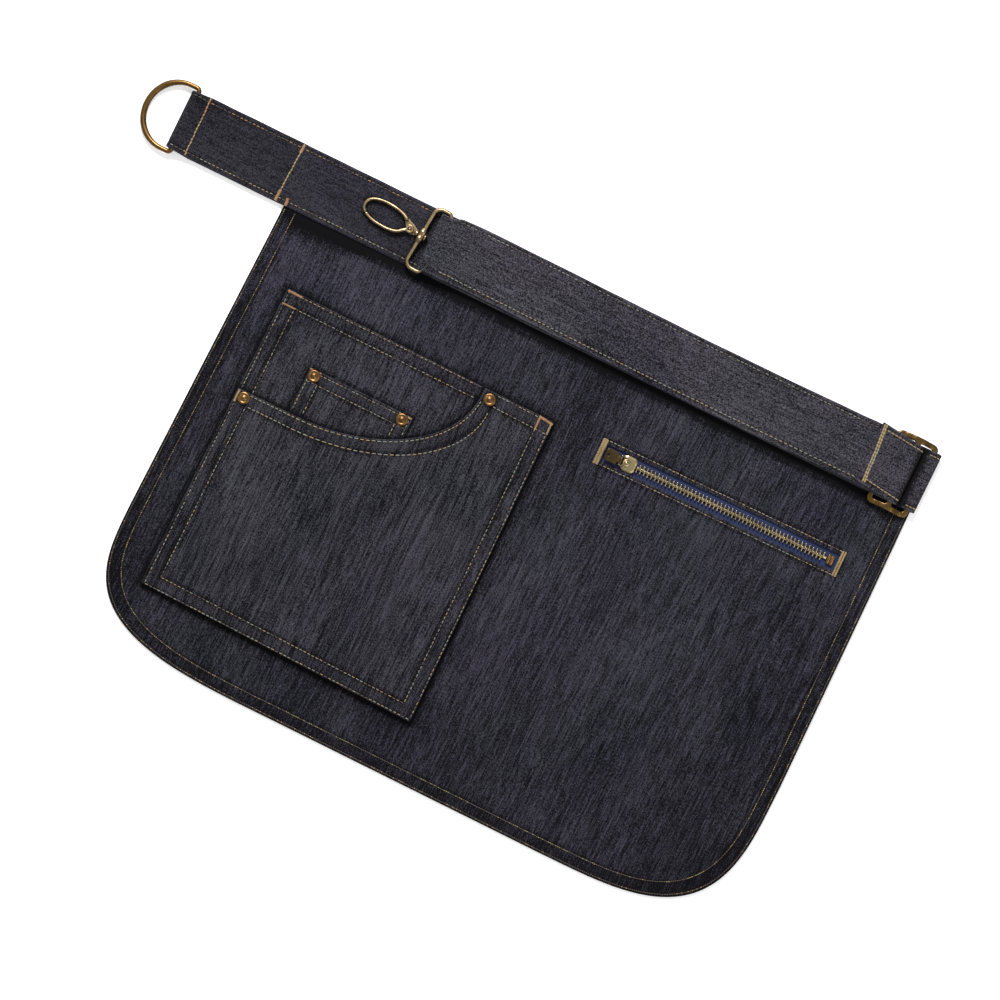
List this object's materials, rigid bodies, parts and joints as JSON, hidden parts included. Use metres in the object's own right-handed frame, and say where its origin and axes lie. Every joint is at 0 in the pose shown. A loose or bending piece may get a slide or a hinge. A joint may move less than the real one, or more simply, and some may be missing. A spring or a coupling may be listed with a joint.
{
  "type": "denim waist apron",
  "caption": "Half-length denim apron lying flat: waistband with D-ring tab, adjustable strap with slider and snap hook, scooped patch pocket, coin pocket and zip pocket.",
  "frame": {"origin": "middle of the base, where the apron rests on its back", "axes": "+X right along the waistband, +Y from the hem up to the waistband, +Z out of the front"},
  "size_m": [0.6104, 0.3778, 0.0118],
  "materials": {
    "denim_skirt": "raw dark indigo denim with a slight slub running down the skirt",
    "denim_band": "raw dark indigo denim, folded band",
    "lining": "plain dark cotton pocket bag",
    "zip_tape": "royal blue woven zip tape",
    "zip_brass": "antique brass, worn bright on the edges",
    "dark_brass": "dark bronzed brass",
    "slider_brass": "olive antique brass",
    "ring_brass": "dark golden bronze",
    "hook_brass": "antique brass with pale highlights",
    "copper": "aged copper"
  },
  "bodies": {
    "apron": {"skirt": "denim_skirt", "waistband": "denim_band", "strap": "denim_band", "strap_slider": "slider_brass", "pocket_back": "denim_skirt", "pocket_front": "denim_skirt", "coin_pocket": "denim_skirt", "zip_bag": "lining", "zip_tape": "zip_tape", "zip_teeth": "zip_brass", "zip_slider": "zip_brass", "zip_stop": "copper", "rivet_scoop_left": "copper", "rivet_scoop_right": "copper", "rivet_coin_left": "copper", "rivet_coin_right": "copper"},
    "ring": {"d_ring": "ring_brass"},
    "loop": {"hook_loop": "hook_brass"},
    "hook": {"hook_body": "hook_brass"},
    "gate": {"hook_gate": "hook_brass"},
    "pull": {"zip_pull": "dark_brass"}
  },
  "joints": [
    {"name": "d_ring_hinge", "type": "hinge", "parent": "apron", "child": "ring", "pos_m": [-0.27307, 0.1619, 0.00445], "axis": [0, 1, 0], "range_deg": [-90, 150]},
    {"name": "hook_loop_hinge", "type": "hinge", "parent": "apron", "child": "loop", "pos_m": [-0.07772, 0.1612, 0.00795], "axis": [0.0785, 0.9969, 0], "range_deg": [0, 140]},
    {"name": "hook_swivel", "type": "hinge", "parent": "loop", "child": "hook", "pos_m": [-0.08958, 0.16213, 0.00753], "axis": [-0.9963, 0.0784, -0.035], "range_deg": [-3, 3]},
    {"name": "hook_gate_hinge", "type": "hinge", "parent": "hook", "child": "gate", "pos_m": [-0.09884, 0.16286, 0.00721], "axis": [0.0349, -0.0027, -0.9994], "range_deg": [0, 16], "stiffness_Nm_per_rad": 0.01, "springref_deg": -11.46},
    {"name": "zip_pull_hinge", "type": "hinge", "parent": "apron", "child": "pull", "pos_m": [0.10448, 0.0828, 0.00598], "axis": [-0.0122, 0.9999, 0], "range_deg": [-4, 130]}
  ]
}
